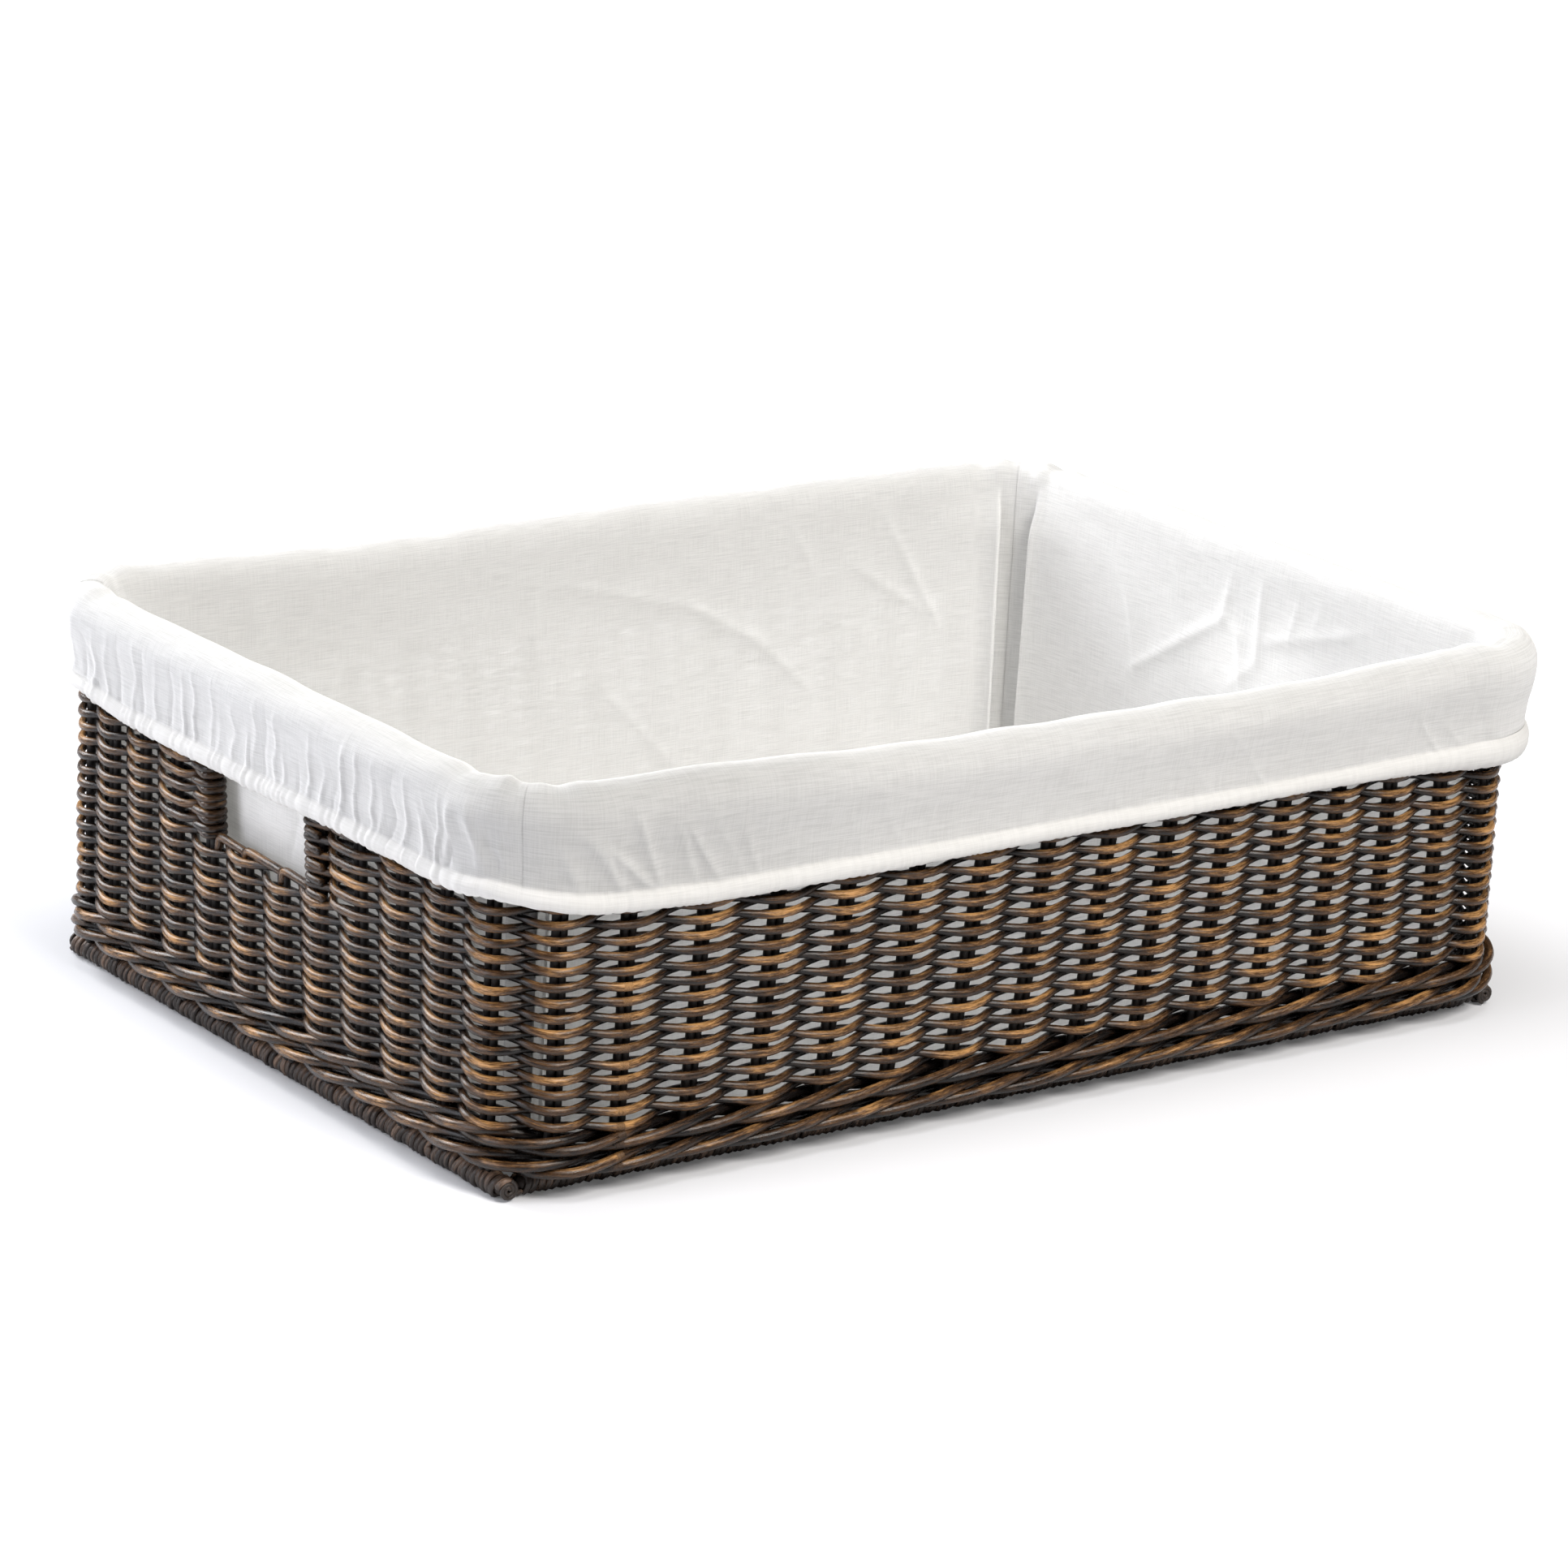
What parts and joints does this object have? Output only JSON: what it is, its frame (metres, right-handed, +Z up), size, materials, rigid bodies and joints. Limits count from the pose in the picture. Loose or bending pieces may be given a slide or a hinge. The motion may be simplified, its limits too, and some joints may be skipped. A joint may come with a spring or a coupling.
{
  "type": "woven storage basket",
  "caption": "Low rectangular basket woven of dark cane over leaning stakes, with a hand hole in each end and a loose cotton liner folded over the rim.",
  "frame": {"origin": "on the floor, under the middle of the base", "axes": "+X along the long side, +Y along the short side, +Z up; the long wall nearest the camera is on the -Y side"},
  "size_m": [0.6458, 0.4558, 0.2015],
  "materials": {
    "weaver_cane": "satin stain",
    "stake_rod": "satin stain",
    "wound_cane": "satin stain",
    "pole": "matt",
    "cotton_muslin": "plain weave",
    "elastic_tape": "matt"
  },
  "bodies": {
    "basket": {"base_rail_back": "pole", "base_rail_front": "pole", "base_rail_left": "pole", "base_rail_right": "pole", "base_wrap_back": "wound_cane", "base_wrap_front": "wound_cane", "base_wrap_left": "wound_cane", "base_wrap_right": "wound_cane", "covered_weave_1": "weaver_cane", "covered_weave_2": "weaver_cane", "floor_mat": "weaver_cane", "floor_sticks": "stake_rod", "handle_sill_left": "stake_rod", "handle_sill_right": "stake_rod", "rim_rail": "pole", "stakes_back": "stake_rod", "stakes_corner": "stake_rod", "stakes_front": "stake_rod", "stakes_left": "stake_rod", "stakes_right": "stake_rod", "wale_rod_1": "weaver_cane", "wale_rod_2": "weaver_cane", "wale_rod_3": "weaver_cane", "wale_rod_4": "weaver_cane", "weaver_round_01": "weaver_cane", "weaver_round_02": "weaver_cane", "weaver_round_03": "weaver_cane", "weaver_round_04": "weaver_cane", "weaver_round_05": "weaver_cane", "weaver_round_06": "weaver_cane", "weaver_round_07": "weaver_cane", "weaver_round_08": "weaver_cane", "weaver_round_09": "weaver_cane", "weaver_round_10": "weaver_cane", "weaver_round_11": "weaver_cane", "weaver_round_12": "weaver_cane", "weaver_round_13": "weaver_cane", "weaver_round_14": "weaver_cane"},
    "liner": {"hem_elastic": "elastic_tape", "liner_floor": "cotton_muslin", "liner_panel_back": "cotton_muslin", "liner_panel_front": "cotton_muslin", "liner_panel_left": "cotton_muslin", "liner_panel_right": "cotton_muslin"}
  },
  "joints": [
    {"name": "liner_lift", "type": "slide", "parent": "basket", "child": "liner", "axis": [0, 0, 1], "range_m": [0, 0.205]}
  ]
}
